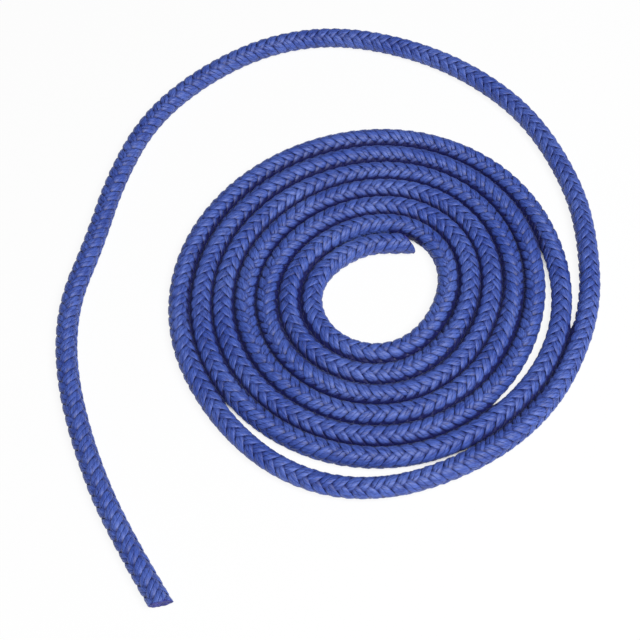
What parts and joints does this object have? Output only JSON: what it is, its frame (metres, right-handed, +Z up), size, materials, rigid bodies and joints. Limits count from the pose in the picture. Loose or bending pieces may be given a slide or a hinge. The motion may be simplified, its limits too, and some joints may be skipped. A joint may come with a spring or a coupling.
{
  "type": "dynamic climbing rope",
  "caption": "Short climbing rope laid flat in a spiral with one free tail: braided sheath over a bundle of core strands, fused at both ends.",
  "frame": {"origin": "on the floor that the rope lies on, under the middle of the whole rope's box", "axes": "+Z up from the floor, +Y away from the end of the free tail, +X to the side where the tail leaves the spiral"},
  "size_m": [0.2575, 0.317, 0.0094],
  "materials": {
    "sheath_yarn": "blue polyamide filament yarns, braided two over two, with a soft satin sheen along each yarn",
    "core_yarn": "undyed white polyamide strands, matt",
    "fused_yarn": "yarn ends melted together into a darker, slightly glossy skin"
  },
  "bodies": {
    "root": {"sheath_coil": "sheath_yarn", "sheath_tail": "sheath_yarn", "core_strand_01": "core_yarn", "core_strand_02": "core_yarn", "core_strand_03": "core_yarn", "core_strand_04": "core_yarn", "core_strand_05": "core_yarn", "core_strand_06": "core_yarn", "core_strand_07": "core_yarn", "core_strand_08": "core_yarn", "core_strand_09": "core_yarn", "core_strand_10": "core_yarn", "core_strand_11": "core_yarn", "core_strand_12": "core_yarn", "inner_end_seal": "fused_yarn", "tail_end_seal": "fused_yarn"}
  },
  "joints": []
}
